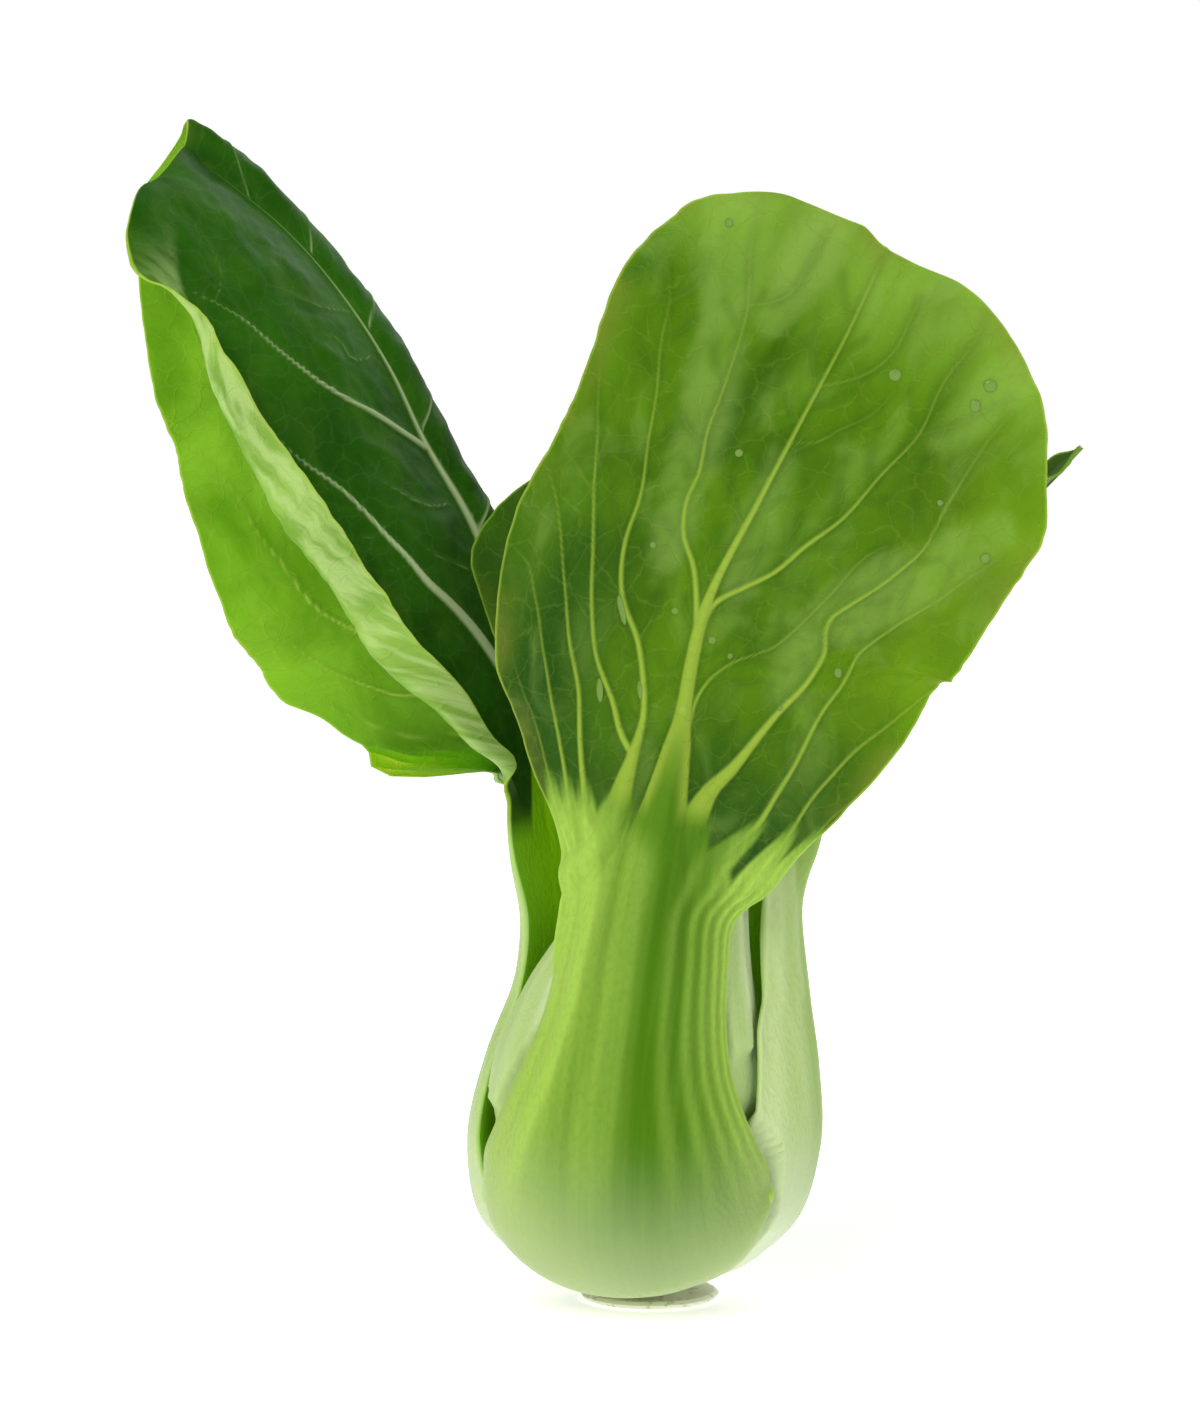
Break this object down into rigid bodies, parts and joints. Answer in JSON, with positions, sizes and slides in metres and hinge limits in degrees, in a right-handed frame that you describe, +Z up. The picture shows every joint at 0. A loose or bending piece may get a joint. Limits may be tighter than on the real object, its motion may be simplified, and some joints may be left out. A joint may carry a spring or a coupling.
{
  "type": "bok choy head",
  "caption": "Head of bok choy standing on its cut stem: thick pale stalks nested in a bulb, spreading into broad veined green blades.",
  "frame": {"origin": "centre of the cut stem face, on the surface that the head stands on", "axes": "+Z up along the head's axis, -Y towards the widest leaf, +X to its right as seen from the front"},
  "size_m": [0.1926, 0.1155, 0.2344],
  "materials": {
    "cut_stem": "moist cut stem, cream white",
    "outer_leaf": "waxy leaf, mid green blade on a pale green stalk",
    "inner_leaf": "waxy leaf, fresh green blade on a pale green stalk",
    "heart_leaf": "tender leaf, yellow green"
  },
  "bodies": {
    "root": {"stem_base": "cut_stem", "leaf_front": "outer_leaf", "leaf_left": "outer_leaf", "leaf_right": "outer_leaf", "leaf_back": "outer_leaf", "leaf_front_left": "inner_leaf", "leaf_front_right": "inner_leaf", "leaf_inner_left": "heart_leaf", "leaf_inner_right": "heart_leaf", "leaf_heart_front": "heart_leaf", "leaf_heart_back": "heart_leaf"}
  },
  "joints": []
}
